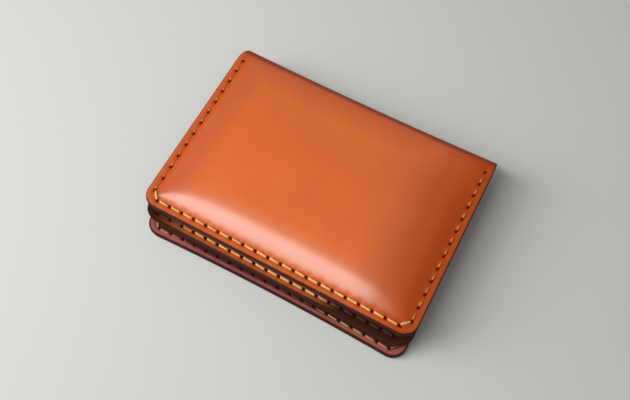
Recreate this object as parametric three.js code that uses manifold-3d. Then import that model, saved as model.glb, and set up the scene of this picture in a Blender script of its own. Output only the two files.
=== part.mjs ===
// Closed folding card wallet: two leather leaves joined by a rounded fold, a gusseted
// pocket on the bottom leaf and a flat card pocket under the crowned top leaf.
// +X runs along the fold, +Y points at the fold, +Z is up. The origin is the middle of
// the closed wallet's footprint, on the surface it lies on.
import * as THREE from 'three';
import { mergeVertices } from 'three/addons/utils/BufferGeometryUtils.js';
import Module from 'manifold-3d';

const wasm = await Module();
wasm.setup();

// Leather thicknesses, in millimetres like every length here
const coverThickness = 1.5;
const liningThickness = 0.7;
const gussetThickness = 0.8;
const faceThickness = 1.4;
const cardPocketThickness = 1.5;
const glueLine = 0.1;

// Leaves
const leafWidth = 106.8;
const topLeafDepth = 65.7;
const cornerRadius = 5.5;
const baseReach = 6.4;
const baseInset = 0.5;
const baseHollow = 0.9;

// Pocket between the leaves
const pocketRoom = 6.5;
const leafGap = 2.45;
const faceReach = 2.7;
const mouthSetback = 4.5;
const cardPocketSetback = 8;
const flangeWidth = 4.4;
const gussetDepth = 7.4;
const gussetFoldRadius = 1;

// Thumb notches in the two pocket mouths
const notchWidth = 26;
const notchDepth = 6;
const notchShoulder = 0.5;
const notchFloor = 0.6;

// Crown of the top leaf
const crownHeight = 2.6;
const crownRun = 22;
const crownFoldRun = 26;
const crownFullness = 2.4;
const stitchedBand = 3.6;
const fillerInset = 3.6;
const fillerFoldSetback = 13;
const fillerGap = 0.2;

// Seams
const topMargin = 2.7;
const topSeamOverrun = 0.5;
const pocketMargin = 2.4;
const stitchPitch = 5;
const threadDiameter = 0.66;
const threadHump = 0.22;
const threadGap = 0.06;
const grooveWidth = 1.3;
const grooveDepth = 0.4;

// The fold: how far each leaf's leather turns before the spine takes over, in degrees
const leafTurn = 40;
const spineGap = 2.6;

// Smoothness of round stretches
const cornerSteps = 5;
const frontSteps = 6;
const foldStepDegrees = 10;
const crownSteps = 14;
const gussetFoldSteps = 3;
const stepsPerStitch = 4;

// Heights of the stacked sheets, counted up from the table
const liningFloor = coverThickness + glueLine;
const liningTop = liningFloor + liningThickness;
const flangeFloor = liningTop + glueLine;
const faceFloor = liningTop + pocketRoom;
const faceTop = faceFloor + faceThickness;
const cardPocketFloor = faceTop + leafGap;
const cardPocketTop = cardPocketFloor + cardPocketThickness;
const topLiningFloor = cardPocketTop + glueLine;
const topLiningTop = topLiningFloor + liningThickness;
const topCoverFloor = topLiningTop + glueLine;
const closedHeight = topCoverFloor + coverThickness;

// Plan places, counted from the middle of the footprint
const foldRadius = closedHeight / 2;
const footprintDepth = baseReach + topLeafDepth + foldRadius;
const foldLine = footprintDepth / 2 - foldRadius;
const topFront = foldLine - topLeafDepth;
const baseFront = topFront - baseReach;
const faceFront = topFront - faceReach;
const topHalf = leafWidth / 2;
const baseHalf = topHalf - baseInset;
const mouthLine = foldLine - mouthSetback;

// Finishes
const coverLeather = { color: 0xc9601f, roughness: 0.3 };
const pocketLeather = { color: 0xb4541c, roughness: 0.35 };
const gussetLeather = { color: 0x8d4636, roughness: 0.35 };
const liningLeather = { color: 0xa97a4e, roughness: 0.6 };
const fillerLeather = { color: 0xa97a4e, roughness: 0.8 };
const goldThread = { color: 0xd9a65c, roughness: 0.5 };

function clampUnit(value) {
  return Math.min(1, Math.max(0, value));
}

function mix(a, b, share) {
  return a + (b - a) * share;
}

// A closed body between two grids of points, with walls round their four edges.
// Each grid is a list of rows of [x, y, z]; the first grid is the one seen from outside.
function sheetBetween(outerGrid, innerGrid) {
  const rows = outerGrid.length;
  const columns = outerGrid[0].length;
  const positions = [];
  const indices = [];
  for (const grid of [outerGrid, innerGrid]) {
    for (const row of grid) for (const point of row) positions.push(...point);
  }
  const outer = (r, c) => r * columns + c;
  const inner = (r, c) => rows * columns + r * columns + c;
  const quad = (a, b, c, d) => indices.push(a, b, c, a, c, d);
  for (let r = 0; r < rows - 1; r += 1) {
    for (let c = 0; c < columns - 1; c += 1) {
      quad(outer(r, c), outer(r, c + 1), outer(r + 1, c + 1), outer(r + 1, c));
      quad(inner(r, c), inner(r + 1, c), inner(r + 1, c + 1), inner(r, c + 1));
    }
  }
  for (let c = 0; c < columns - 1; c += 1) {
    quad(inner(0, c), inner(0, c + 1), outer(0, c + 1), outer(0, c));
    quad(outer(rows - 1, c), outer(rows - 1, c + 1), inner(rows - 1, c + 1), inner(rows - 1, c));
  }
  const end = columns - 1;
  for (let r = 0; r < rows - 1; r += 1) {
    quad(outer(r, 0), outer(r + 1, 0), inner(r + 1, 0), inner(r, 0));
    quad(inner(r, end), inner(r + 1, end), outer(r + 1, end), outer(r, end));
  }
  const geometry = new THREE.BufferGeometry();
  geometry.setAttribute('position', new THREE.Float32BufferAttribute(positions, 3));
  geometry.setIndex(indices);
  return facingOut(geometry);
}

function signedVolume(geometry) {
  const p = geometry.getAttribute('position');
  const index = geometry.getIndex();
  const [a, b, c] = [new THREE.Vector3(), new THREE.Vector3(), new THREE.Vector3()];
  let volume = 0;
  for (let i = 0; i < index.count; i += 3) {
    a.fromBufferAttribute(p, index.getX(i));
    b.fromBufferAttribute(p, index.getX(i + 1));
    c.fromBufferAttribute(p, index.getX(i + 2));
    volume += a.dot(b.cross(c)) / 6;
  }
  return volume;
}

function facingOut(geometry) {
  if (signedVolume(geometry) < 0) {
    const order = geometry.getIndex().array;
    for (let i = 0; i < order.length; i += 3) {
      [order[i + 1], order[i + 2]] = [order[i + 2], order[i + 1]];
    }
  }
  geometry.computeVertexNormals();
  return geometry;
}

function toManifold(geometry) {
  const bare = geometry.clone();
  bare.deleteAttribute('normal');
  bare.deleteAttribute('uv');
  const merged = mergeVertices(bare, 1e-4);
  return new wasm.Manifold(new wasm.Mesh({
    numProp: 3,
    vertProperties: new Float32Array(merged.getAttribute('position').array),
    triVerts: new Uint32Array(merged.getIndex().array),
  }));
}

function fromManifold(solid) {
  const mesh = solid.getMesh();
  const geometry = new THREE.BufferGeometry();
  geometry.setAttribute('position', new THREE.BufferAttribute(mesh.vertProperties, 3));
  geometry.setIndex(new THREE.BufferAttribute(mesh.triVerts, 1));
  geometry.computeVertexNormals();
  return geometry;
}

function cut(geometry, tool) {
  return fromManifold(toManifold(geometry).subtract(toManifold(tool)));
}

// How far a hollow front edge is set back at a given x, most in its middle.
function hollowAt(x, { half, radius, hollow }) {
  return hollow * Math.max(0, 1 - (x / (half - radius)) ** 2);
}

// How far a rounded corner sets the front edge back at a given x.
function cornerSetback(x, half, radius) {
  const over = Math.abs(x) - (half - radius);
  return over <= 0 ? 0 : radius - Math.sqrt(Math.max(0, radius ** 2 - over ** 2));
}

// Shares from 0 to 1 that lie closer together towards both ends.
function denseAtEnds(steps) {
  return Array.from({ length: steps + 1 }, (_, i) => (1 - Math.cos(Math.PI * i / steps)) / 2);
}

// The columns of a leaf, from left to right: round corners, and even or dense between them.
function columnsAcross({ half, radius }, shares) {
  const straight = half - radius;
  const corner = Array.from({ length: cornerSteps }, (_, i) => (
    straight + radius * Math.sin((i + 1) / cornerSteps * Math.PI / 2)
  ));
  const middle = shares.map((share) => mix(-straight, straight, share));
  return [...corner.map((x) => -x).reverse(), ...middle, ...corner];
}

// The U-shaped outline of a panel, up the left side, along the front and back up the right.
// Outlines all have the same number of points, so a strip can be lofted from one to another.
function outlineU(outline) {
  const { half, front, back, radius } = outline;
  const straight = half - radius;
  const corner = Array.from({ length: cornerSteps + 1 }, (_, i) => {
    const turn = i / cornerSteps * Math.PI / 2;
    return [straight + radius * Math.cos(turn), front + radius - radius * Math.sin(turn)];
  });
  const middle = Array.from({ length: frontSteps - 1 }, (_, i) => (
    [mix(-straight, straight, (i + 1) / frontSteps), front]
  ));
  const points = [
    [-half, back],
    ...corner.map(([x, y]) => [-x, y]),
    ...middle,
    ...corner.slice().reverse(),
    [half, back],
  ];
  return points.map(([x, y]) => [x, y + hollowAt(x, outline)]);
}

// Height of the crown over the flat top leaf. It rises steeply just inside the stitches,
// levels out, and runs down gently to the fold.
function crownAt(x, y) {
  const fromSide = topHalf - stitchedBand - Math.abs(x);
  const fromFront = y - topFront - stitchedBand;
  if (fromSide <= 0 || fromFront <= 0) return 0;
  const inside = 1 / Math.hypot(1 / fromSide, 1 / fromFront);
  const rise = 1 - (1 - clampUnit(inside / crownRun)) ** crownFullness;
  const back = clampUnit((foldLine - y) / crownFoldRun);
  return crownHeight * rise * back * back * (3 - 2 * back);
}

// One leaf of a sheet that lies at some depth below the outer face: flat up to the fold
// line, then turned round the fold by leafTurn. The top leaf is the base turned over.
function leafSheet({ outline, depth, thickness, columnShares, rowShares, isTop, crowned }) {
  const columns = columnsAcross(outline, columnShares);
  const turnSteps = Math.ceil(leafTurn / foldStepDegrees);
  const gridAt = (sink) => {
    const height = (drop, lift) => (isTop ? closedHeight - drop + lift : drop);
    const grid = rowShares.map((share) => columns.map((x) => {
      const edge = outline.front + cornerSetback(x, outline.half, outline.radius)
        + hollowAt(x, outline);
      const y = mix(edge, foldLine, share);
      return [x, y, height(sink, crowned ? crownAt(x, y) : 0)];
    }));
    const reach = foldRadius - sink;
    for (let i = 1; i <= turnSteps; i += 1) {
      const angle = THREE.MathUtils.degToRad(i / turnSteps * leafTurn);
      const drop = foldRadius - reach * Math.cos(angle);
      grid.push(columns.map((x) => [x, foldLine + reach * Math.sin(angle), height(drop, 0)]));
    }
    return grid;
  };
  return sheetBetween(gridAt(depth), gridAt(depth + thickness));
}

// The stretch of a sheet that makes the round back, between the two leaves.
function spineSheet({ half, depth, thickness }) {
  const turn = 90 - leafTurn - spineGap;
  const steps = Math.ceil(2 * turn / foldStepDegrees);
  const gridAt = (sink) => Array.from({ length: steps + 1 }, (_, i) => {
    const angle = THREE.MathUtils.degToRad(mix(-turn, turn, i / steps));
    const reach = foldRadius - sink;
    const y = foldLine + reach * Math.cos(angle);
    const z = foldRadius + reach * Math.sin(angle);
    return [[-half, y, z], [half, y, z]];
  });
  return sheetBetween(gridAt(depth), gridAt(depth + thickness));
}

// The pad under the crown: flat below, and domed to fit under the cover.
function fillerPad() {
  const inset = stitchedBand + fillerInset;
  const half = topHalf - inset;
  const front = topFront + inset;
  const back = foldLine - fillerFoldSetback;
  const columns = columnsAcross({ half, radius: fillerInset }, denseAtEnds(crownSteps - 2));
  const rows = denseAtEnds(crownSteps - 4);
  const gridAt = (height) => rows.map((share) => columns.map((x) => {
    const y = mix(front + cornerSetback(x, half, fillerInset), back, share);
    return [x, y, height(x, y)];
  }));
  return sheetBetween(
    gridAt((x, y) => topCoverFloor + crownAt(x, y) - fillerGap),
    gridAt(() => topCoverFloor),
  );
}

// Stitch holes of a seam, up the left side, along the front and back up the right. The
// front is pitched from its middle, and both sides start the same way past the corner.
function stitchHoles(outline, margin) {
  const { half, front, back, radius } = outline;
  const line = half - margin;
  const arc = radius - margin;
  const cornerRoom = arc * (1 - Math.SQRT1_2) + stitchPitch / 4;
  const spaces = Math.floor(2 * (line - cornerRoom) / stitchPitch);
  const lead = line - spaces * stitchPitch / 2;
  const start = front + margin;
  const along = Math.floor((back - start - lead) / stitchPitch);
  const side = Array.from({ length: along + 1 }, (_, i) => {
    const up = lead + i * stitchPitch;
    const over = Math.max(0, arc - up);
    return [line - arc + Math.sqrt(arc ** 2 - over ** 2), start + up];
  });
  const across = Array.from({ length: spaces + 1 }, (_, i) => {
    const x = (i - spaces / 2) * stitchPitch;
    return [x, start + cornerSetback(x, line, arc) + hollowAt(x, outline)];
  });
  return [...side.map(([x, y]) => [-x, y]).reverse(), ...across, ...side];
}

// A run of thread that lies in its groove at each hole and rises between the holes.
class StitchRun extends THREE.Curve {
  constructor(holes, height) {
    super();
    this.holes = holes;
    this.height = height;
  }

  // Steps are shared out evenly by stitch, and not by length.
  getUtoTmapping(share) {
    return share;
  }

  getPoint(share) {
    const place = clampUnit(share) * (this.holes.length - 1);
    const i = Math.min(this.holes.length - 2, Math.floor(place));
    const along = place - i;
    const [from, to] = [this.holes[i], this.holes[i + 1]];
    const z = this.height + threadHump * Math.sin(along * Math.PI) ** 2;
    return new THREE.Vector3(mix(from[0], to[0], along), mix(from[1], to[1], along), z);
  }
}

function seamThread(holes, surface) {
  const section = new THREE.Shape();
  section.absarc(0, 0, threadDiameter / 2, 0, Math.PI * 2);
  const height = surface - grooveDepth + threadGap + threadDiameter / 2;
  return new THREE.ExtrudeGeometry(section, {
    extrudePath: new StitchRun(holes, height),
    steps: (holes.length - 1) * stepsPerStitch,
    curveSegments: 3,
    bevelEnabled: false,
  });
}

function direction(from, to) {
  const [dx, dy] = [to[0] - from[0], to[1] - from[1]];
  const length = Math.hypot(dx, dy);
  return [dx / length, dy / length];
}

// The creased channel under a run of stitches, as a mitred bar that is cut out of leather.
function grooveBar(holes, surface) {
  const last = holes.length - 1;
  const run = holes.map(([x, y], i) => (i === 0 || i === last ? [x, y + grooveWidth] : [x, y]));
  const edge = (sign) => run.map((point, i) => {
    const before = direction(run[Math.max(0, i - 1)], run[Math.max(1, i)]);
    const after = direction(run[Math.min(last - 1, i)], run[Math.min(last, i + 1)]);
    const bisector = direction([0, 0], [before[0] + after[0], before[1] + after[1]]);
    const reach = sign * grooveWidth / 2 / (bisector[0] * before[0] + bisector[1] * before[1]);
    return [point[0] - bisector[1] * reach, point[1] + bisector[0] * reach];
  });
  const gridAt = (z) => [edge(-1), edge(1)].map((line) => line.map(([x, y]) => [x, y, z]));
  return sheetBetween(gridAt(surface + grooveDepth), gridAt(surface - grooveDepth));
}

// A flat pocket panel: the outline of its leaf, with a thumb notch in the open back edge.
function pocketPanel(outline, height, thickness) {
  const { half, back } = outline;
  const shape = new THREE.Shape(outlineU(outline).map(([x, y]) => new THREE.Vector2(x, y)));
  const reach = notchWidth / 2;
  const deep = back - notchDepth;
  shape.lineTo(reach, back);
  const shoulder = reach * notchShoulder;
  const floor = reach * notchFloor;
  shape.bezierCurveTo(shoulder, back, floor, deep, 0, deep);
  shape.bezierCurveTo(-floor, deep, -shoulder, back, -reach, back);
  shape.lineTo(-half, back);
  return new THREE.ExtrudeGeometry(shape, {
    depth: thickness, bevelEnabled: false, curveSegments: 6,
  }).translate(0, 0, height);
}

// A bent line with its corners rounded, as points that each hold their own direction.
function roundedLine(corners, radius) {
  const points = [];
  corners.forEach((corner, i) => {
    if (i === 0 || i === corners.length - 1) {
      const run = i === 0 ? [corner, corners[1]] : [corners[i - 1], corner];
      points.push({ at: corner, along: direction(...run) });
      return;
    }
    const before = direction(corners[i - 1], corner);
    const after = direction(corner, corners[i + 1]);
    const turn = Math.atan2(before[0] * after[1] - before[1] * after[0],
      before[0] * after[0] + before[1] * after[1]);
    const reach = radius * Math.tan(Math.abs(turn) / 2);
    const side = Math.sign(turn);
    const start = [corner[0] - before[0] * reach, corner[1] - before[1] * reach];
    const centre = [start[0] - before[1] * radius * side, start[1] + before[0] * radius * side];
    const first = Math.atan2(before[1], before[0]);
    for (let step = 0; step <= gussetFoldSteps; step += 1) {
      const heading = first + turn * step / gussetFoldSteps;
      const along = [Math.cos(heading), Math.sin(heading)];
      const at = [centre[0] + along[1] * radius * side, centre[1] - along[0] * radius * side];
      points.push({ at, along });
    }
  });
  return points;
}

// The gusset: one strip folded inwards in a V and carried round three sides. Its section is
// given as inset from the edge and height, and its outline changes from the base leaf's to
// the pocket face's on the way up.
function gussetStrip() {
  const lower = flangeFloor + gussetThickness / 2;
  const upper = faceFloor - glueLine - gussetThickness / 2;
  const section = roundedLine([
    [0, lower], [flangeWidth, lower], [gussetDepth, (lower + upper) / 2], [flangeWidth, upper],
    [0, upper],
  ], gussetFoldRadius);
  const gridAt = (side) => section.map(({ at, along }) => {
    const inset = Math.max(0, at[0] - side * along[1] * gussetThickness / 2);
    const height = at[1] + side * along[0] * gussetThickness / 2;
    const climb = clampUnit((height - lower) / (upper - lower));
    const between = (key) => mix(baseOutline[key], faceOutline[key], climb);
    return outlineU({
      half: between('half') - inset,
      front: between('front') + inset,
      radius: Math.max(gussetFoldRadius, between('radius') - inset),
      hollow: between('hollow'),
      back: mouthLine,
    }).map(([x, y]) => [x, y, height]);
  });
  return sheetBetween(gridAt(1), gridAt(-1));
}

const topOutline = { half: topHalf, front: topFront, radius: cornerRadius, hollow: 0 };
const baseOutline = { half: baseHalf, front: baseFront, radius: cornerRadius, hollow: baseHollow };
const faceOutline = { half: topHalf, front: faceFront, radius: cornerRadius, hollow: 0 };

const flatSheet = {
  columnShares: Array.from({ length: frontSteps + 1 }, (_, i) => i / frontSteps),
  rowShares: [0, 1],
};
const domedSheet = {
  columnShares: denseAtEnds(crownSteps),
  rowShares: [
    0, ...denseAtEnds(crownSteps - 2).map((share) => mix(stitchedBand / topLeafDepth, 1, share)),
  ],
};
const coverSheet = { depth: 0, thickness: coverThickness };
const liningSheet = { depth: liningFloor, thickness: liningThickness };

const topHoles = stitchHoles({ ...topOutline, back: foldLine + topSeamOverrun }, topMargin);
const faceHoles = stitchHoles({ ...faceOutline, back: mouthLine }, pocketMargin);
const baseHoles = stitchHoles({ ...baseOutline, back: mouthLine }, pocketMargin);
const flangeTop = flangeFloor + gussetThickness;

const topCover = leafSheet({
  outline: topOutline, ...coverSheet, ...domedSheet, isTop: true, crowned: true,
});
const facePanel = pocketPanel({ ...faceOutline, back: mouthLine }, faceFloor, faceThickness);
const cardPanel = pocketPanel(
  { ...topOutline, back: foldLine - cardPocketSetback }, cardPocketFloor, cardPocketThickness,
);

const bodies = {
  base_leaf: {
    outer_cover_base: [
      leafSheet({ outline: baseOutline, ...coverSheet, ...flatSheet }), coverLeather],
    lining_base: [
      leafSheet({ outline: baseOutline, ...liningSheet, ...flatSheet }), liningLeather],
    gusset: [cut(gussetStrip(), grooveBar(baseHoles, flangeTop)), gussetLeather],
    lower_seam_thread: [seamThread(baseHoles, flangeTop), goldThread],
  },
  pocket_front: {
    pocket_face: [cut(facePanel, grooveBar(faceHoles, faceTop)), pocketLeather],
    middle_seam_thread: [seamThread(faceHoles, faceTop), goldThread],
  },
  spine: {
    outer_cover_spine: [spineSheet({ half: topHalf, ...coverSheet }), coverLeather],
    lining_spine: [spineSheet({ half: topHalf, ...liningSheet }), liningLeather],
  },
  top_leaf: {
    outer_cover_top: [cut(topCover, grooveBar(topHoles, closedHeight)), coverLeather],
    crown_filler: [fillerPad(), fillerLeather],
    lining_top: [
      leafSheet({ outline: topOutline, ...liningSheet, ...flatSheet, isTop: true }),
      liningLeather],
    card_pocket: [cardPanel, pocketLeather],
    upper_seam_thread: [seamThread(topHoles, closedHeight), goldThread],
  },
};

const wallet = new THREE.Group();
for (const [bodyName, pieces] of Object.entries(bodies)) {
  const body = new THREE.Group();
  body.name = bodyName;
  for (const [name, [geometry, look]] of Object.entries(pieces)) {
    const piece = new THREE.Mesh(geometry, new THREE.MeshStandardMaterial(look));
    piece.name = name;
    body.add(piece);
  }
  wallet.add(body);
}

export default wallet;
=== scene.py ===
import math
import bpy
import bmesh
from mathutils import Matrix, Vector, geometry, kdtree


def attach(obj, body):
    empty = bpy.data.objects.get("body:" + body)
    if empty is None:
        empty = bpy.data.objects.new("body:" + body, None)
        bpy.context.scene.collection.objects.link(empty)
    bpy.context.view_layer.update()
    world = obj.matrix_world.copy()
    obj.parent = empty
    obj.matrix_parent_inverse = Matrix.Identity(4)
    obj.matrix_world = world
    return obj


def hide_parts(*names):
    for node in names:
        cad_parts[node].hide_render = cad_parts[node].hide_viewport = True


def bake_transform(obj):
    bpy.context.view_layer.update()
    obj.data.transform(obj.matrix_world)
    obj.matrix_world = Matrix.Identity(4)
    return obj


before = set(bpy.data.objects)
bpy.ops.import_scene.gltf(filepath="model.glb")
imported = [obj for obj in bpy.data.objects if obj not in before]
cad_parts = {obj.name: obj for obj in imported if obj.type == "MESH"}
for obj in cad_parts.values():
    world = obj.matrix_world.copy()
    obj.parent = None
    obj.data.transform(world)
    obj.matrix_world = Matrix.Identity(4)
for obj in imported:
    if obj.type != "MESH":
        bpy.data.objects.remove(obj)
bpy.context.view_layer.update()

mm = 0.001

# where things are, in millimetres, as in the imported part
fold = {
    "line": 31.9125, "height": 16.55, "reach": 8.275,      # where it starts, and its radius
    "half": 53.15, "waist": 0.9,                   # half its width, and how far its middle sinks
    "step": 0.6, "lastRow": 0.05,
}
fold["quarter"] = fold["reach"] * math.pi / 2      # leather from a leaf to the middle of the back

topLeaf = {"half": 53.4, "front": -33.7875, "corner": 5.5, "hollow": 0}
baseLeaf = {"half": 52.9, "front": -40.1875, "corner": 5.5, "hollow": 0.9}
pocketLeaf = {"half": 53.4, "front": -36.4875, "corner": 5.5, "hollow": 0}
hollowRun = 40                                     # how far back a hollow front edge is felt

mouth = {
    "face": 27.4125, "card": 23.9125,              # open back edges of the two pockets
    "strip": 2.5, "step": 0.3,                     # rows are closer together along them
    "notchRun": 18, "notchEase": (0.5, 0.6), "notchPoints": 40,
}
level = {"lining": 1.6, "flange": 3.2, "face": 10.2, "card": 12.65, "inner": 14.25}

sewing = {"pitch": 5.0, "topMargin": 2.7, "pocketMargin": 2.4, "overrun": 0.5}


def setBack(leaf, x, ahead):                       # a front edge that is hollow in its middle
    share = max(0, 1 - (x / (leaf["half"] - leaf["corner"])) ** 2)
    return leaf["hollow"] * share * max(0, 1 - ahead / hollowRun)


# shader maths

class Signal:
    def __init__(self, paint, socket):
        self.paint = paint
        self.socket = socket

    def maths(self, operation, first, second):
        return self.paint.node("ShaderNodeMath", {"operation": operation}, {0: first, 1: second})

    def __add__(self, other):
        return self.maths("ADD", self, other)

    def __sub__(self, other):
        return self.maths("SUBTRACT", self, other)

    def __rsub__(self, other):
        return self.maths("SUBTRACT", other, self)

    def __mul__(self, other):
        return self.maths("MULTIPLY", self, other)

    def __rmul__(self, other):
        return self.maths("MULTIPLY", other, self)

    def __truediv__(self, other):
        return self.maths("DIVIDE", self, other)

    def __pow__(self, other):
        return self.maths("POWER", self, other)

    def __abs__(self):
        return self.maths("ABSOLUTE", self, 0)

    def __mod__(self, other):
        return self.maths("FLOORED_MODULO", self, other)


class Paint:
    def __init__(self, owner, shader, finish):     # owner is a material or the world
        owner.use_nodes = True
        self.tree = owner.node_tree
        self.shader = self.tree.nodes[shader]
        for socket, value in finish.items():
            self.shader.inputs[socket].default_value = value

    def node(self, kind, settings, sockets, output=0):
        made = self.tree.nodes.new(kind)
        for key, value in settings.items():
            setattr(made, key, value)
        for key, value in sockets.items():
            self.join(made.inputs[key], value)
        return Signal(self, made.outputs[output])

    def join(self, socket, value):
        if isinstance(value, Signal):
            self.tree.links.new(value.socket, socket)
        else:
            socket.default_value = value

    def feed(self, **sockets):
        for name, value in sockets.items():
            self.join(self.shader.inputs[name.replace("_", " ")], value)

    def place(self, stretch=(1, 1, 1)):
        at = self.node("ShaderNodeTexCoord", {}, {}, "Object")
        return self.node("ShaderNodeMapping", {}, {"Vector": at, "Scale": stretch})

    def attribute(self, name):
        return self.node("ShaderNodeAttribute", {"attribute_name": name}, {}, "Fac")

    def noise(self, at, scale, detail=2.0, roughness=0.5):
        return self.node("ShaderNodeTexNoise", {}, {
            "Vector": at, "Scale": scale, "Detail": detail, "Roughness": roughness}, "Fac")

    def ease(self, value, low, high, start=0.0, stop=1.0):
        return self.node("ShaderNodeMapRange", {"interpolation_type": "SMOOTHSTEP"}, {
            "Value": value, "From Min": low, "From Max": high, "To Min": start, "To Max": stop})

    def blend(self, share, first, second):
        return self.node("ShaderNodeMix", {"data_type": "RGBA"}, {0: share, 6: first, 7: second}, 2)

    def bump(self, height, distance, strength=1.0, over=None):
        sockets = {"Height": height, "Distance": distance, "Strength": strength}
        if over:
            sockets["Normal"] = over
        return self.node("ShaderNodeBump", {}, sockets)


def linear(red, green, blue):                      # a colour as it is read off a screen
    return tuple((value / 255) ** 2.2 for value in (red, green, blue)) + (1,)


# the leathers: face and deep are a hide's two tones, burnt its dyed edge; hole is painted shade in
# the awl holes, and the last colour is painted shade laid where a leaf lies in shade
coverLook = {
    "face": linear(233, 107, 36), "deep": linear(222, 98, 30), "burnt": linear(64, 27, 15),
    "hole": linear(104, 24, 6), "shadeColour": linear(138, 36, 5),
    "roughness": 0.32, "coat": 0.8, "grain": 1.0, "burnish": (0.25, 0.95),
}
pocketLook = {
    "face": linear(188, 90, 28), "deep": linear(162, 70, 18), "burnt": linear(60, 27, 16),
    "hole": linear(62, 18, 8), "shadeColour": linear(38, 18, 14),
    "roughness": 0.4, "coat": 0.3, "grain": 1.0, "burnish": (0.3, 1.1),
}
gussetLook = {
    "face": linear(178, 92, 82), "deep": linear(152, 72, 64), "burnt": linear(58, 26, 20),
    "hole": linear(34, 14, 10), "shadeColour": linear(58, 26, 20),
    "roughness": 0.38, "coat": 0.3, "grain": 1.2, "burnish": (0.3, 0.9),
}
liningLook = {
    "face": linear(164, 112, 70), "deep": linear(140, 90, 54), "burnt": linear(66, 40, 30),
    "hole": linear(52, 28, 18), "shadeColour": linear(110, 70, 44),
    "roughness": 0.62, "coat": 0.0, "grain": 1.6, "burnish": (0.1, 0.45),
}
fillerLook = {
    "face": linear(172, 126, 84), "deep": linear(150, 104, 66),
    "roughness": 0.8, "coat": 0.0, "grain": 2.4,
}

hide = {
    "finish": {"IOR": 1.5, "Specular IOR Level": 0.2, "Coat Roughness": 0.2, "Coat IOR": 1.6},
    "cloud": (14, 2, 0.5), "mottle": (70, 3, 0.55), "ragged": (700, 3, 0.5), "raggedBy": 0.2,
    "creases": (900, 4, 0.6), "creaseStretch": (1, 0.6, 1),
    "pores": 1700, "poreSoft": 0.6, "poreShade": (0.1, 0.45, 0.10, 0),
    "tone": (0.3, 0.7), "toneCloud": 0.6, "toneMottle": 0.4, "rougher": 0.03, "smoother": -0.02,
    "glow": (0.3, 2.2, 0.45, 0),                   # dye that crept in from the edge
    # dull roughens the dyed edge and awl marks; then how the painted shade roughens the leather,
    # how strongly it is laid, and how it takes off the coat
    "dull": 0.35, "shadeMaskRougher": 0.3, "shadeMaskShare": 0.95, "shadeMaskCoat": (0.3, 0.6, 1, 0),
    "grain": 0.00003, "grainPores": 0.6, "grainCreases": 0.8,
    "uneven": 0.0002, "unevenCloud": 2, "bump": 0.6,       # the hide isn't quite flat
}
awl = {                                            # its slanted hole, and the leather beaten down
    "slant": 0.5, "long": 0.42, "wide": 0.32, "rim": (0.8, 1.3, 1, 0),
    "beatenIn": (-1.6, -1.0), "beatenOut": (1.4, 2.6, 1, 0), "beatenDull": 0.8,
    "crease": (0.5, 1.2, 1, 0), "creaseShade": 0.6,
}


def edgesAndSeams(paint, look, at, colour):
    # bare is 1 where neither dye nor awl has touched the face
    edge = paint.attribute("edge") + (paint.noise(at, *hide["ragged"]) - 0.5) * hide["raggedBy"]
    burnish = paint.ease(edge, *look["burnish"], 1, 0)
    step = (paint.attribute("along") + 0.5) % 1 - 0.5
    across = paint.attribute("across")
    slant = step * sewing["pitch"] + across * awl["slant"]
    offCentre = (slant * slant / awl["long"] + across * across / awl["wide"]) ** 0.5
    inSeam = paint.attribute("sewn")
    beaten = paint.ease(across, *awl["beatenIn"]) * paint.ease(across, *awl["beatenOut"]) * inSeam
    # painted shade in the awl hole
    hole = paint.ease(offCentre, *awl["rim"]) * inSeam
    crease = paint.ease(abs(across), *awl["crease"]) * inSeam
    # painted shade: how far the leaf is darkened where it lies in shade
    shadeMask = paint.attribute("shadeMask")
    shades = [
        (paint.ease(edge, *hide["glow"]), "deep"), (crease * awl["creaseShade"], "deep"),
        (shadeMask * hide["shadeMaskShare"], "shadeColour"), (burnish, "burnt"), (hole, "hole")]
    for share, shade in shades:
        colour = paint.blend(share, colour, look[shade])
    bare = (1 - burnish) * (1 - hole) * (1 - awl["beatenDull"] * beaten)
    return colour, bare, shadeMask


def leather(name, look, stitched=True):
    material = bpy.data.materials.new(name)
    paint = Paint(material, "Principled BSDF", hide["finish"])
    at = paint.place()
    cloud = paint.noise(at, *hide["cloud"])
    mottle = paint.noise(at, *hide["mottle"])
    creases = paint.noise(paint.place(hide["creaseStretch"]), *hide["creases"])
    pores = paint.node("ShaderNodeTexVoronoi", {"feature": "SMOOTH_F1"}, {
        "Vector": at, "Scale": hide["pores"], "Smoothness": hide["poreSoft"]}, "Distance")
    tone = paint.ease(cloud * hide["toneCloud"] + mottle * hide["toneMottle"], *hide["tone"])
    colour = paint.blend(tone, look["deep"], look["face"])
    colour = paint.blend(paint.ease(pores, *hide["poreShade"]), colour, look["deep"])
    rough, smooth = look["roughness"] + hide["rougher"], look["roughness"] + hide["smoother"]
    roughness = paint.ease(mottle, *hide["tone"], rough, smooth)
    coat = look["coat"]
    if stitched:
        colour, bare, shadeMask = edgesAndSeams(paint, look, at, colour)
        coat = bare * paint.ease(shadeMask, *hide["shadeMaskCoat"]) * look["coat"]
        roughness = roughness + (1 - bare) * hide["dull"] + shadeMask * hide["shadeMaskRougher"]
    grain = pores * hide["grainPores"] + creases * hide["grainCreases"]
    grain = paint.bump(grain, hide["grain"] * look["grain"], hide["bump"])
    grain = paint.bump(mottle + cloud * hide["unevenCloud"], hide["uneven"], hide["bump"], grain)
    paint.feed(Base_Color=colour, Roughness=roughness, Coat_Weight=coat, Normal=grain)
    return material


threadLook = {
    # face and deep are the thread's two tones; the next three are painted shade: on the tight side
    # stitches, where it dives into a hole, and along shaded stretches
    "face": linear(250, 198, 126), "deep": linear(232, 170, 98), "tightAndShaded": linear(188, 88, 38),
    "sink": linear(110, 38, 12), "threadShade": linear(62, 32, 22),
    "finish": {"Specular IOR Level": 0.3}, "fibre": (3200, 3, 0.6), "fibreStretch": (1, 1, 0.5),
    "tint": 260, "tintEnds": (0.35, 0.65), "dull": (0.3, 0.7, 0.5, 0.36), "bump": (0.00004, 0.6),
}


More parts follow.
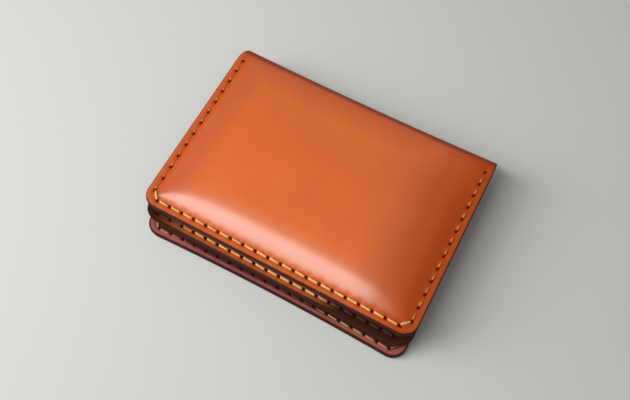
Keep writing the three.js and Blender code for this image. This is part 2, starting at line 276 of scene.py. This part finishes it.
def waxedThread(name, look):
    material = bpy.data.materials.new(name)
    paint = Paint(material, "Principled BSDF", look["finish"])
    fibre = paint.noise(paint.place(look["fibreStretch"]), *look["fibre"])
    tint = paint.noise(paint.place(), look["tint"])
    colour = paint.blend(paint.ease(tint, *look["tintEnds"]), look["deep"], look["face"])
    # lay the painted shade over the thread's colour
    for mark in ("tightAndShaded", "sink", "threadShade"):
        colour = paint.blend(paint.attribute(mark), colour, look[mark])
    paint.feed(
        Base_Color=colour, Roughness=paint.ease(fibre, *look["dull"]),
        Normal=paint.bump(fibre, *look["bump"]))
    return material


coverLeather = leather("coverLeather", coverLook)
pocketLeather = leather("pocketLeather", pocketLook)
gussetLeather = leather("gussetLeather", gussetLook)
liningLeather = leather("liningLeather", liningLook)
fillerLeather = leather("fillerLeather", fillerLook, stitched=False)
goldThread = waxedThread("goldThread", threadLook)
print("materials made")


# seams: where the awl goes through a leaf

def setSeam(leaf, margin, back):
    pitch = sewing["pitch"]
    line = leaf["half"] - margin                   # x of the seam on a side
    arc = leaf["corner"] - margin
    start = leaf["front"] + margin
    room = arc * (1 - math.sqrt(0.5)) + pitch / 4
    spaces = math.floor(2 * (line - room) / pitch)
    lead = line - spaces * pitch / 2
    side = []
    for i in range(math.floor((back - start - lead) / pitch) + 1):
        over = max(0, arc - lead - i * pitch)
        side.append((line - arc + math.sqrt(arc ** 2 - over ** 2), start + lead + i * pitch))
    across = []
    for i in range(spaces + 1):
        x = (i - spaces / 2) * pitch
        over = max(0, abs(x) - (line - arc))
        across.append((x, start + arc - math.sqrt(arc ** 2 - over ** 2)))
    holes = [(-x, y) for x, y in reversed(side)] + across + side
    turn = math.asin(max(0, across[-1][0] - (line - arc)) / arc)       # of the last front hole
    return {"holes": holes, "margin": margin, "sideCount": len(side), "frontCount": len(across),
            "reach": across[-1][0], "lead": start + lead, "turn": turn}


def cornerAngle(a, b):                             # how far round a blank's square corner goes
    return math.pi / 4 * a / b if b >= a else math.pi / 2 - math.pi / 4 * b / a


def seamPlace(seam, leaf, x, y):
    # how many stitches along the seam a point of the square-cornered blank is
    pitch = sewing["pitch"]
    first = seam["sideCount"]
    last = first + seam["frontCount"] - 1
    side = leaf["half"] - abs(x)
    ahead = y - leaf["front"]
    corner = leaf["corner"]
    if side < corner and ahead < corner:
        angle = cornerAngle(corner - side, corner - ahead)
        turn = seam["turn"]
        if angle < turn:
            reach = (seam["reach"] - leaf["half"] + corner) / pitch
            beyond = -(1 - angle / turn) * reach
        elif angle < math.pi / 2 - turn:
            beyond = (angle - turn) / (math.pi / 2 - 2 * turn)
        else:
            reach = (leaf["front"] + corner - seam["lead"]) / pitch
            beyond = 1 + (angle - math.pi / 2 + turn) / turn * reach
    elif side < ahead:
        beyond = 1 + (y - seam["lead"]) / pitch
    else:
        return first + (x + seam["reach"]) / pitch
    return last + beyond if x > 0 else first - beyond


# leather sheets, cut flat and then folded
seamMarks = ("edge", "along", "across", "sewn", "shadeMask")     # what the leather's finish reads; the last says where shade is painted

dent = {
    "groove": 0.42, "pull": (0.65, 0.55), "pucker": (1.5, 1.4),        # how wide each of them is
    "past": 0.6, "fade": 0.3,                      # how far a seam goes on, and fades, in stitches
    "reach": 4, "noSeam": 9,
    "clear": 0.1,                                  # how far rows keep from the rim and the corner
}
rows = (-1.4, -0.95, -0.65, -0.45, -0.3, -0.15, 0, 0.15, 0.3, 0.45, 0.65, 0.95, 1.4)   # at a seam


def easeIn(value, start, stop):
    share = min(1, max(0, (value - start) / (stop - start)))
    return share * share * (3 - 2 * share)


def within(value, low, high, soft):                # 1 from low to high, 0 beyond their soft ends
    return easeIn(value, low - soft, low) * easeIn(value, high + soft, high)


def hill(*shares):                                 # 1 in the middle, and falling off smoothly
    return math.exp(-sum(share ** 2 for share in shares))


def spread(start, stop, step):
    count = max(1, round(abs(stop - start) / step))
    return [start + (stop - start) * i / count for i in range(count + 1)]


def rimLines(rim):                                 # a quarter turn in four steps
    return [rim * (1 - math.cos(math.radians(22.5 * i))) for i in range(5)]


def edgeLines(rim, margin, corner, step):
    lines = rimLines(rim)
    if margin:
        start, stop = rim + dent["clear"], corner - dent["clear"]
        lines += [margin + away for away in rows if start < margin + away < stop]
    return lines + spread(lines[-1], corner, step)[1:]


def squareSheet(xs, ys):
    blank = bmesh.new()
    bmesh.ops.create_grid(blank, x_segments=len(xs) - 1, y_segments=len(ys) - 1, size=1)
    for vert in blank.verts:
        column = round((vert.co.x + 1) / 2 * (len(xs) - 1))
        row = round((vert.co.y + 1) / 2 * (len(ys) - 1))
        vert.co = (xs[column], ys[row], 0)
    return blank


def giveThickness(blank, thickness):
    made = bmesh.ops.extrude_face_region(blank, geom=blank.faces[:])
    under = [part for part in made["geom"] if isinstance(part, bmesh.types.BMVert)]
    bmesh.ops.translate(blank, verts=under, vec=(0, 0, -thickness))
    bmesh.ops.recalc_face_normals(blank, faces=blank.faces[:])


def roundRim(edge, rim):
    return rim - math.sqrt(rim ** 2 - (rim - edge) ** 2) if edge < rim else 0.0


def notchCurve(depth, reach):
    # how deep the thumb notch is at a distance from its middle
    out, deep = [reach * share for share in mouth["notchEase"]]
    points = geometry.interpolate_bezier(
        Vector((reach, 0, 0)), Vector((out, 0, 0)), Vector((deep, depth, 0)),
        Vector((0, depth, 0)), mouth["notchPoints"])

    def depthAt(x):
        for far, near in zip(points, points[1:]):
            if near.x <= abs(x) <= far.x:
                share = (far.x - abs(x)) / (far.x - near.x)
                return far.y + (near.y - far.y) * share
        return 0.0
    return depthAt


def leafRows(leaf, cut):
    # x and y of a leaf's rows, close together at its rims and seam
    corner, rim, step, seam = leaf["corner"], cut["rim"], cut["step"], cut.get("seam")
    inward = edgeLines(rim, seam["margin"] if seam else None, corner, step)
    middle = leaf["half"] - corner
    xs = [d - leaf["half"] for d in inward] + spread(-middle, middle, step)[1:-1]
    xs += [leaf["half"] - d for d in reversed(inward)]
    ys = [leaf["front"] + d for d in inward]
    if "back" in cut:
        ys += spread(ys[-1], cut["back"] - mouth["strip"], step)[1:]
        ys += spread(ys[-1], cut["back"] - rim, mouth["step"])[1:]
        ys += [cut["back"] - d for d in reversed(rimLines(rim)[:-1])]
    else:                                          # it goes on round the back
        ys += spread(ys[-1], fold["line"], step)[1:]
        ys += spread(ys[-1], fold["line"] + fold["quarter"], fold["step"])[1:]
        ys.insert(-1, ys[-1] - fold["lastRow"])
    return xs, ys


def markSeam(vert, marks, seam, leaf, x, y, across):
    # also returns the stitches along the seam, and those left to its nearer end
    along = seamPlace(seam, leaf, x, y)
    ends = min(along + dent["past"], len(seam["holes"]) - (1 - dent["past"]) - along)
    vert[marks["along"]] = along
    vert[marks["across"]] = across
    vert[marks["sewn"]] = 1.0 if ends > 0 else 0.0
    return along, ends


def dentDepth(cut, along, across, ends):           # what the thread presses into the leather
    step = ((along + 0.5) % 1 - 0.5) * sewing["pitch"]
    groove = hill(across / dent["groove"]) * cut.get("groove", 0)
    pull = hill(step / dent["pull"][0], across / dent["pull"][1]) * cut.get("pull", 0)
    pucker = hill(step / dent["pucker"][0], across / dent["pucker"][1]) * cut.get("pucker", 0)
    return (max(groove, pull) + pucker) * min(1, ends / dent["fade"])


def cutLeaf(leaf, cut, bend):
    # a leaf with rounded front corners; bend puts a point of the flat leather in its place
    corner, rim, thickness, seam = leaf["corner"], cut["rim"], cut["thickness"], cut.get("seam")
    notchAt = notchCurve(*cut["notch"]) if "notch" in cut else None
    blank = squareSheet(*leafRows(leaf, cut))
    marks = {name: blank.verts.layers.float.new(name) for name in seamMarks}
    giveThickness(blank, thickness)
    for vert in blank.verts:
        x, y, z = vert.co
        side, ahead = leaf["half"] - abs(x), y - leaf["front"]
        behind = cut["back"] - y if "back" in cut else math.inf
        edge = min(side, ahead, behind)
        outer = z > -thickness / 2
        vert[marks["edge"]] = max(0, min(side * cut.get("sideBurnish", 1), ahead, behind))
        vert[marks["across"]] = dent["noSeam"]
        # how dark the leaf is painted, as shade
        if "shadeAt" in cut:
            vert[marks["shadeMask"]] = cut["shadeAt"](x, y)
        pressed = 0.0
        if seam:
            across = min(side, ahead) - seam["margin"]
            along, ends = markSeam(vert, marks, seam, leaf, x, y, across)
            if outer and ends > 0 and abs(across) < dent["reach"]:
                pressed = dentDepth(cut, along, across, ends)
        if side < corner and ahead < corner:       # round the front corner
            far = corner - min(side, ahead)
            angle = cornerAngle(corner - side, corner - ahead)
            x = math.copysign(leaf["half"] - corner + far * math.sin(angle), x)
            y = leaf["front"] + corner - far * math.cos(angle)
        y += setBack(leaf, x, ahead)
        if notchAt:
            y -= notchAt(x) * easeIn(behind, mouth["notchRun"], 0)
        drop = roundRim(max(0, edge), rim)
        vert.co = bend(x, y, pressed + drop if outer else thickness - drop)
    return blank


def markCreases(mesh, angle=40):
    for side in mesh.edges:
        if len(side.link_faces) == 2 and side.calc_face_angle(0) > math.radians(angle):
            side.smooth = False


def addObject(name, data):
    added = bpy.data.objects.new(name, data)
    bpy.context.scene.collection.objects.link(added)
    return added


def finishPiece(name, mesh, material, replaced, body=None):
    bmesh.ops.recalc_face_normals(mesh, faces=mesh.faces[:])
    markCreases(mesh)
    for face in mesh.faces:
        face.smooth = True
    data = bpy.data.meshes.new(name)
    mesh.to_mesh(data)
    mesh.free()
    data.materials.append(material)
    piece = addObject(name, data)
    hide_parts(*replaced)
    if body:
        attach(piece, body)
    return piece


def declareSheet(piece, cut):
    width, length = cut["flat"]
    width * mm
    length * mm
    (width * length - cut["waste"]) * mm * mm


def crownAt(x, y):                                 # how far the padded top stands up
    crown = coverUpper["crown"]
    side = topLeaf["half"] - crown["band"] - abs(x)
    ahead = y - topLeaf["front"] - crown["band"]
    if side <= 0 or ahead <= 0 or y >= fold["line"]:
        return 0.0
    inside = 1 / math.hypot(1 / side, 1 / ahead)
    inside = math.hypot(inside, crown["soft"]) - crown["soft"]
    rise = crown["height"] * (1 - (1 - min(1, inside / crown["run"])) ** crown["fullness"])
    rise += crown["dome"] * easeIn(inside, 0, crown["domeRun"])
    return rise * easeIn(y, fold["line"], fold["line"] - crown["foldRun"])


def roundTheBack(x, y, depth, upper, lift=0.0):
    turn = max(0, y - fold["line"]) / fold["reach"]
    reach = fold["reach"] - depth
    down = fold["reach"] - reach * math.cos(turn)
    y = min(y, fold["line"]) + reach * math.sin(turn)
    y -= fold["waist"] * (1 - (x / topLeaf["half"]) ** 2) * math.sin(turn) ** 2
    half = topLeaf["half"] if upper else baseLeaf["half"]      # both halves end equally wide
    x *= 1 + (fold["half"] / half - 1) * easeIn(turn, 0, math.pi / 2)
    return Vector((x, y, fold["height"] - down + lift if upper else down)) * mm


def foldHalf(name, upper, cut, bend, material, replaced):
    leaf = topLeaf if upper else baseLeaf
    piece = finishPiece(name, cutLeaf(leaf, cut, bend), material, replaced)
    declareSheet(piece, cut)
    if upper:
        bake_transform(piece)
    else:
        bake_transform(piece)
    return len(piece.data.polygons)


topSeam = setSeam(topLeaf, sewing["topMargin"], fold["line"] + sewing["overrun"])
pocketSeam = setSeam(pocketLeaf, sewing["pocketMargin"], mouth["face"])
baseSeam = setSeam(baseLeaf, sewing["pocketMargin"], mouth["face"])

# the outer cover
coverShade = {                                      # painted shade on the cover: how dark, and from where to where it comes on
    "right": [(0.45, 20, 40), (0.17, 40, 50)], "left": [(0.36, 34, 47)],       # the right and left slopes, painted darker as shade
    # painted shade on the slope down to the fold and on the spine; below, along the front band and
    # slope
    "bend": [(0.33, -9, 1)], "back": [(0.95, 0.5, 7)],
    "front": [(0.18, 16, 6), (0.2, 4.5, 3)],
}


# how dark the cover is painted, as shade, at a point
def coverShadeAt(x, y):
    past = y - fold["line"]
    places = {"right": x, "left": -x, "bend": past, "back": past, "front": y - topLeaf["front"]}
    return max(
        sum(dark * easeIn(at, start, stop) for dark, start, stop in coverShade[place])
        for place, at in places.items())


coverUpper = {
    "thickness": 1.5, "rim": 0.42, "step": 0.5, "seam": topSeam, "shadeAt": coverShadeAt,
    "groove": 0.1, "pull": 0.7, "pucker": 0.16, "sideBurnish": 1.7,
    "crown": {
        "height": 2.2, "run": 16, "fullness": 2.4, "dome": 0.4, "domeRun": 26, "foldRun": 26,
        "band": 3.6, "soft": 0.6},
    "flat": (106.8, 78.7), "waste": 13, "held": "folded", "on": ["crownPad"],
}
coverLower = {
    "thickness": 1.5, "rim": 0.42, "step": 0.6, "seam": baseSeam, "shadeAt": coverShadeAt,
    "groove": 0.5, "pull": 0.7,
    "flat": (105.8, 85.1), "waste": 70, "held": "folded", "on": [],
}


def bendCoverUpper(x, y, depth):
    return roundTheBack(x, y, depth, True, crownAt(x, y))


def bendCoverLower(x, y, depth):
    return roundTheBack(x, y, depth, False)


upperFaces = foldHalf(
    "coverUpper", True, coverUpper, bendCoverUpper, coverLeather,
    ["outer_cover_top", "outer_cover_spine"])
lowerFaces = foldHalf(
    "coverLower", False, coverLower, bendCoverLower, coverLeather,
    ["outer_cover_base", "outer_cover_spine"])
print("cover folded:", upperFaces, lowerFaces, "faces")

# the lining
liningUpper = {
    "thickness": 0.7, "rim": 0.16, "step": 1.2, "seam": topSeam,
    "flat": (106.8, 76.2), "waste": 13, "held": "folded", "on": ["crownPad"],
}
liningLower = {
    "thickness": 0.7, "rim": 0.16, "step": 1.2,
    "flat": (105.8, 82.6), "waste": 70, "held": "folded", "on": ["coverLower"],
}


def bendLiningUpper(x, y, depth):
    return roundTheBack(x, y, depth + level["lining"], True)


def bendLiningLower(x, y, depth):
    return roundTheBack(x, y, depth + level["lining"], False)


foldHalf(
    "liningUpper", True, liningUpper, bendLiningUpper, liningLeather,
    ["lining_top", "lining_spine"])
foldHalf(
    "liningLower", False, liningLower, bendLiningLower, liningLeather,
    ["lining_base", "lining_spine"])
print("lining folded")

# the two pocket panels
pocketShade = {"unshaded": (-34, 12, 16), "reach": (7, 3.5)}       # painted shade at both ends of the front, in under the top leaf


# how dark the pocket face is painted, as shade, at a point
def pocketShadeAt(x, y):
    ahead = y - pocketLeaf["front"]
    return (1 - within(x, *pocketShade["unshaded"])) * easeIn(ahead, *pocketShade["reach"])


pocketFace = {
    "thickness": 1.4, "rim": 0.4, "step": 0.5, "back": mouth["face"], "seam": pocketSeam,
    "notch": (6.0, 13.0), "groove": 0.1, "pull": 0.7, "pucker": 0.1, "shadeAt": pocketShadeAt,
    "flat": (106.8, 63.9), "waste": 95, "held": "laid", "on": ["gussetStrip"],
}
cardPocket = {
    "thickness": 1.5, "rim": 0.3, "step": 0.6, "back": mouth["card"], "seam": topSeam,
    "notch": (6.0, 13.0), "groove": 0.2, "pull": 0.6, "pucker": 0.1,
    "flat": (106.8, 57.7), "waste": 95, "held": "laid", "on": ["liningUpper"],
}


def bendPocketFace(x, y, depth):
    return Vector((x, y, level["face"] - depth)) * mm


def bendCardPocket(x, y, depth):
    return Vector((x, y, level["card"] + depth)) * mm


declareSheet(finishPiece(
    "pocketFace", cutLeaf(pocketLeaf, pocketFace, bendPocketFace), pocketLeather,
    ["pocket_face"], "pocket_front"), pocketFace)
declareSheet(finishPiece(
    "cardPocket", cutLeaf(topLeaf, cardPocket, bendCardPocket), pocketLeather,
    ["card_pocket"], "top_leaf"), cardPocket)
print("pockets cut")

# the gusset, one strip folded inwards in a V and carried round three sides
gusset = {
    "thickness": 0.8, "flange": 4.4, "depth": 7.4, "bend": 1.3, "low": 2.8, "high": 8.3,
    "rim": 0.14, "step": 0.5, "bendPoints": 9, "tightest": 1.0,
    "steps": (0.011, 0.05, 0.0065, 0.05, 0.011),   # side, corner, front, corner, side
    "margin": 2.4, "groove": 0.1, "pull": 0.42, "dentReach": 1.3,
    "dulled": (-24, 20, 18), "dulledAhead": (-10, -30), "dull": 0.3,   # where its front is painted darker, as shade
    "shadeStarts": (1.8, -0.7), "shadeFull": (3.0, -1.0),       # how far in the painted shade starts and is full, and how much further out in the middle
    "flat": (236, 16.2), "waste": 0, "held": "folded", "on": ["liningLower"],
}


def gussetSection():
    middle = (gusset["low"] + gusset["high"]) / 2
    corners = [Vector(point) for point in (
        (0, gusset["low"], 0), (gusset["flange"], gusset["low"], 0), (gusset["depth"], middle, 0),
        (gusset["flange"], gusset["high"], 0), (0, gusset["high"], 0))]
    inward = edgeLines(
        gusset["rim"], gusset["margin"], gusset["flange"] - gusset["bend"], gusset["step"])
    line = [Vector((d, gusset["low"], 0)) for d in inward[:-1]]
    for before, corner, after in zip(corners, corners[1:], corners[2:]):
        start = corner + (before - corner).normalized() * gusset["bend"]
        stop = corner + (after - corner).normalized() * gusset["bend"]
        line += geometry.interpolate_bezier(
            start, start.lerp(corner, 2 / 3), stop.lerp(corner, 2 / 3), stop, gusset["bendPoints"])
    return line + [Vector((d, gusset["high"], 0)) for d in reversed(inward[:-1])]


def ringPoint(place, half, front, radius, hollow):
    # a point of a U-shaped ring: 0 to 1 left side, to 2 corner, to 3 front, to 4 corner, to 5 side
    mirrored = place > 2.5
    place = 5 - place if mirrored else place
    back = mouth["face"]
    if place <= 1:
        x, y = -half, back + (front + radius - back) * place
    elif place <= 2:
        angle = (place - 1) * math.pi / 2
        x = -(half - radius) - radius * math.cos(angle)
        y = front + radius - radius * math.sin(angle)
    else:
        x, y = -(half - radius) * (1 - (place - 2) / 0.5), front
    y += setBack({"half": half, "corner": radius, "hollow": hollow}, x, y - front)
    return (-x if mirrored else x), y


def gussetShadeAt(x, y, inset):                      # painted shade: darker in under the pocket's edge, and more along the middle of its front
    middle = within(x, *gusset["dulled"]) * easeIn(y, *gusset["dulledAhead"])
    out, full = [start + more * middle for start, more in (gusset["shadeStarts"], gusset["shadeFull"])]
    return max(easeIn(inset, out, full), gusset["dull"] * middle)


def foldGusset():
    section = gussetSection()
    normals = []
    for i in range(len(section)):
        run = section[min(i + 1, len(section) - 1)] - section[max(i - 1, 0)]
        normals.append(Vector((-run.y, run.x, 0)).normalized())
    places = [
        place for i, step in enumerate(gusset["steps"]) for place in spread(i, i + 1, step)[:-1]]
    strip = squareSheet(places + [len(gusset["steps"])], list(range(len(section))))
    marks = {name: strip.verts.layers.float.new(name) for name in seamMarks}
    giveThickness(strip, gusset["thickness"])
    climbRun = gusset["high"] - gusset["low"]
    for vert in strip.verts:
        place, row = vert.co.x, round(vert.co.y)
        onTop = vert.co.z > -gusset["thickness"] / 2           # the side that shows from outside
        inset = section[row].x
        away = gusset["thickness"] / 2 - roundRim(inset, gusset["rim"])
        point = section[row] + normals[row] * (away if onTop else -away)
        climb = min(1, max(0, (point.y - gusset["low"]) / climbRun))
        inward = max(0, point.x)
        half, front, radius = [
            baseLeaf[key] + (pocketLeaf[key] - baseLeaf[key]) * climb
            for key in ("half", "front", "corner")]
        x, y = ringPoint(
            place, half - inward, front + inward, max(gusset["tightest"], radius - inward),
            baseLeaf["hollow"] * (1 - climb))
        height = point.y
        low = row < len(section) / 2
        seam, leaf = (baseSeam, baseLeaf) if low else (pocketSeam, pocketLeaf)
        across = inset - gusset["margin"]
        along, ends = markSeam(vert, marks, seam, leaf, x, y, across)
        vert[marks["edge"]] = inset
        vert[marks["shadeMask"]] = gussetShadeAt(x, y, inset)
        if onTop and low and ends > 0 and abs(across) < gusset["dentReach"]:
            height -= dentDepth(gusset, along, across, ends)
        vert.co = Vector((x, y, height)) * mm
    return strip


gussetStrip = finishPiece(
    "gussetStrip", foldGusset(), gussetLeather, ["gusset"])
declareSheet(gussetStrip, gusset)
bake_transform(gussetStrip)
print("gusset folded:", len(gussetStrip.data.polygons), "faces")

# saddle stitches
stitch = {
    "radius": 0.37, "lobes": 3, "lobe": 0.05, "facets": 15, "twist": 2.3,
    "step": 0.05, "slant": 0.14, "dive": 1.2, "hump": 0.1,
    "lie": 0.18, "lowerLie": -0.22, "underLie": -0.56,     # how high it lies on each leaf
    "mouth": 0.45, "sideMouth": 0.5, "climb": 0.5,         # where the thread comes out of its hole
    "sideGirth": 0.5, "sideLie": -0.2, "sideDull": 0.5,    # the sides are pulled tighter, and their thread is painted darker, as shade
    "knuckleLeft": (0.75, 0.35), "knuckleRight": (1.2, 0.9),
    "sunk": 0.2,                                   # thread in painted shade also lies deeper
    # how near a hole the thread is painted darker, as shade in the hole
    "sink": (0.9, 0.3), "holeDepth": 0.5,
    "overEdge": (0.1, 0.9),                        # where it steps off the card pocket's back edge
    "side": (0.8, 1.0),                            # how straight back a stitch of a side seam runs
    # where, and how fully, the thread is left out of the painted shade
    "unshadedMiddle": [(1, -30, 14, 12)], "unshadedLower": [(0.65, -60, -50, 18), (0.5, 24, 44, 8)],
}


def threadSection():
    outline = bpy.data.curves.new("threadSection", "CURVE")
    outline.dimensions = "2D"
    ring = outline.splines.new("POLY")
    ring.points.add(stitch["facets"] - 1)
    ring.use_cyclic_u = True
    for i, point in enumerate(ring.points):
        angle = 2 * math.pi * i / stitch["facets"]
        radius = stitch["radius"] + stitch["lobe"] * math.cos(stitch["lobes"] * angle)
        point.co = (radius * math.cos(angle) * mm, radius * math.sin(angle) * mm, 0, 1)
    return addObject("threadSection", outline)


def stitchPath(seam, lie, unshaded):
    # (x, y, height, girth, tightness, shade) of points along a seam on the flat leather; the last
    # two say how dark the thread is painted, as shade
    holes, dive = seam["holes"], stitch["dive"]
    path = []
    for start, stop in zip(holes, holes[1:]):
        start, run = Vector(start), Vector(stop) - Vector(start)
        aside = Vector((-run.y, run.x)).normalized()
        tightAndShaded = easeIn(abs(run.y) / run.length, *stitch["side"])
        mouthEnd = stitch["mouth"] * (1 - stitch["sideMouth"] * tightAndShaded)
        for share in spread(0, 1, stitch["step"])[:-1]:
            flat = start.lerp(Vector(stop), share) + aside * stitch["slant"] * (1 - 2 * share)
            gap = min(share, 1 - share) * run.length
            fromFront = (share if run.y > 0 else 1 - share) * run.length
            middle, reach = stitch["knuckleRight" if flat.x > 0 else "knuckleLeft"]
            low = tightAndShaded * (1 - hill((fromFront - middle) / reach))
            girth = 1 + (stitch["sideGirth"] - 1) * low
            # painted shade along the stretches outside the unshaded ones
            inShade = 1 - max(part * within(flat.x, *ends) for part, *ends in unshaded) if unshaded else 0
            lift = lie + stitch["hump"] * math.sin(share * math.pi) - stitch["sunk"] * inShade
            lift += min(0, stitch["sideLie"] - lie) * low
            rise = easeIn(gap, mouthEnd, stitch["mouth"] + stitch["climb"])
            height = -dive + (lift + dive) * rise
            # painted shade on the side stitches, less of it at the knuckle by each hole
            dull = max(low, stitch["sideDull"] * tightAndShaded)
            path.append((flat.x, flat.y, height, girth, dull, inShade))
    path.append((*holes[-1], -dive, 1, 0, 0))
    return path


def nearestIn(points):
    tree = kdtree.KDTree(len(points))
    for i, point in enumerate(points):
        tree.insert(point, i)
    tree.balance()
    return tree


def meshOf(course):
    rope = addObject(course.name + "Course", course)
    bpy.context.view_layer.update()
    found = bpy.context.evaluated_depsgraph_get()
    data = bpy.data.meshes.new_from_object(rope.evaluated_get(found))
    bpy.data.objects.remove(rope)
    thread = bmesh.new()
    thread.from_mesh(data)
    bpy.data.meshes.remove(data)
    bmesh.ops.remove_doubles(thread, verts=thread.verts[:], dist=1e-7)
    return thread


def sew(name, runs, section, replaced, body):
    # runs is a list of (seam, leaf, bend, lie, unshaded): bend puts a point of the flat leather in
    # its place, and unshaded lists between which x the thread is left out of the painted shade, and
    # how fully
    course = bpy.data.curves.new(name, "CURVE")
    course.dimensions = "3D"
    course.twist_mode = "Z_UP"
    course.bevel_mode = "OBJECT"
    course.bevel_object = section
    course.use_fill_caps = True
    centres, places, dulls = [], [], []
    for seam, leaf, bend, lie, unshaded in runs:
        path = stitchPath(seam, lie, unshaded)
        spline = course.splines.new("POLY")
        spline.points.add(len(path) - 1)
        length, before = 0.0, None
        for point, (x, y, height, girth, tightAndShaded, inShade) in zip(spline.points, path):
            place = bend(x, y + setBack(leaf, x, y - leaf["front"]), -height)
            length += (place - before).length / mm if before else 0
            before = place
            point.co = (*place, 1)
            point.radius = girth
            point.tilt = length / stitch["twist"] * 2 * math.pi
            places.append(place)
            dulls.append((tightAndShaded, inShade))
        for x, y in seam["holes"]:
            y += setBack(leaf, x, y - leaf["front"])
            centres.append(bend(x, y, stitch["holeDepth"]))
    thread = meshOf(course)
    holeNear, courseNear = nearestIn(centres), nearestIn(places)
    # painted shade on the thread: near each hole, on the side stitches, and along shaded stretches
    sink, tightAndShaded, threadShade = [
        thread.verts.layers.float.new(mark) for mark in ("sink", "tightAndShaded", "threadShade")]
    reach, soft = stitch["sink"]
    for vert in thread.verts:
        away = holeNear.find(vert.co)[2] / mm
        vert[sink] = max(0, min(1, (reach - away) / soft))
        vert[tightAndShaded], vert[threadShade] = dulls[courseNear.find(vert.co)[1]]
    return finishPiece(name, thread, goldThread, replaced, body)


def bendUnderTop(x, y, depth):                     # over the card pocket's back edge to the lining
    over = easeIn(y, *[mouth["card"] + past for past in stitch["overEdge"]])
    under = level["card"] + (level["inner"] - level["card"]) * over
    return Vector((x, y, under + depth)) * mm


def bendLowerFlange(x, y, depth):
    return Vector((x, y, level["flange"] - depth)) * mm


section = threadSection()
sew("seamUpper", [
    (topSeam, topLeaf, bendCoverUpper, stitch["lie"], None),
    (topSeam, topLeaf, bendUnderTop, stitch["lie"], None),
], section, ["upper_seam_thread"], "top_leaf")
sew("seamMiddle", [
    (pocketSeam, pocketLeaf, bendPocketFace, stitch["lie"], stitch["unshadedMiddle"]),
], section, ["middle_seam_thread"], "pocket_front")
sew("seamLower", [
    (baseSeam, baseLeaf, bendLowerFlange, stitch["lowerLie"], stitch["unshadedLower"]),
    (baseSeam, baseLeaf, bendCoverLower, stitch["underLie"], None),
], section, ["lower_seam_thread"], "base_leaf")
bpy.data.objects.remove(section)
print("seams sewn")

# the skived pad that lifts the crown
pad = {"step": 1.6, "gap": 0.04, "fill": 0.9}


def shapePad():
    band = coverUpper["crown"]["band"]
    reach = topLeaf["half"] - band
    blank = squareSheet(
        spread(-reach, reach, pad["step"]),
        spread(topLeaf["front"] + band, fold["line"], pad["step"]))
    giveThickness(blank, 1)
    for vert in blank.verts:
        x, y, z = vert.co
        top = fold["height"] - coverUpper["thickness"] + crownAt(x, y) - pad["gap"]
        bottom = fold["height"] - level["lining"] + pad["gap"]
        vert.co = Vector((x, y, top if z > -0.5 else bottom)) * mm
    return blank


crownPad = finishPiece(
    "crownPad", shapePad(), fillerLeather, ["crown_filler"], "top_leaf")
print("crown padded")

# floor, light and camera
stage = {
    "size": 3.0,
    "paper": {"Base Color": linear(214, 211, 208), "Roughness": 0.85, "Specular IOR Level": 0.2},
}
floorMesh = bmesh.new()
bmesh.ops.create_grid(floorMesh, x_segments=1, y_segments=1, size=stage["size"] / 2)
floorData = bpy.data.meshes.new("floor")
floorMesh.to_mesh(floorData)
floorMesh.free()
floor = addObject("floor", floorData)
paper = bpy.data.materials.new("paper")
Paint(paper, "Principled BSDF", stage["paper"])
floorData.materials.append(paper)

lamps = {
    "window": {
        "at": (-0.17, -0.124, 0.40), "turn": (15, 0, 0), "size": (0.36, 0.113), "power": 1.05,
        "colour": (0.84, 0.96, 0.93)},
    "sky": {
        "at": (-0.8, -0.4, 0.55), "turn": (0, -58, 27), "size": (0.7, 0.7), "power": 6.4,
        "colour": (1, 0.94, 0.96)},
}
for name, lamp in lamps.items():
    light = bpy.data.lights.new(name, "AREA")
    light.shape = "RECTANGLE"
    light.size, light.size_y = lamp["size"]
    light.energy = lamp["power"]
    light.color = lamp["colour"]
    holder = addObject(name, light)
    holder.location = lamp["at"]
    holder.rotation_euler = [math.radians(angle) for angle in lamp["turn"]]

room = {
    "colour": (1, 0.99, 0.98, 1), "light": 0.26, "backdrop": 0.56,
    "seenBy": ("Is Camera Ray", "Is Glossy Ray", "Is Transmission Ray"),
}
world = bpy.data.worlds.new("room")
air = Paint(world, "Background", {"Color": room["colour"], "Strength": room["light"]})
backdrop = air.node(
    "ShaderNodeBackground", {}, {"Color": room["colour"], "Strength": room["backdrop"]})
seen, mirrored, through = [
    air.node("ShaderNodeLightPath", {}, {}, kind) for kind in room["seenBy"]]
lit = Signal(air, air.shader.outputs[0])
air.join(
    air.tree.nodes["World Output"].inputs["Surface"],
    air.node("ShaderNodeMixShader", {}, {0: seen + mirrored + through, 1: lit, 2: backdrop}))
bpy.context.scene.world = world

view = {
    "eye": (0.055198, -0.067476, 0.227851),
    "right": (0.88820, 0.45946, 0.00084), "up": (-0.43049, 0.83157, 0.35095),
    "back": (0.16054, -0.31207, 0.93640), "lens": 36.589, "shift": (-0.08675, 0.00273),
    "sensor": 36, "nearest": 0.01,
}
lensData = bpy.data.cameras.new("camera")
lensData.lens = view["lens"]
lensData.sensor_width = view["sensor"]
lensData.shift_x, lensData.shift_y = view["shift"]
lensData.clip_start = view["nearest"]
camera = addObject("camera", lensData)
columns = [Vector(view[key]) for key in ("right", "up", "back")]
camera.matrix_world = Matrix.Translation(view["eye"]) @ Matrix(columns).transposed().to_4x4()
bpy.context.scene.camera = camera
bpy.context.scene.view_settings.view_transform = "Standard"
print("stage set")
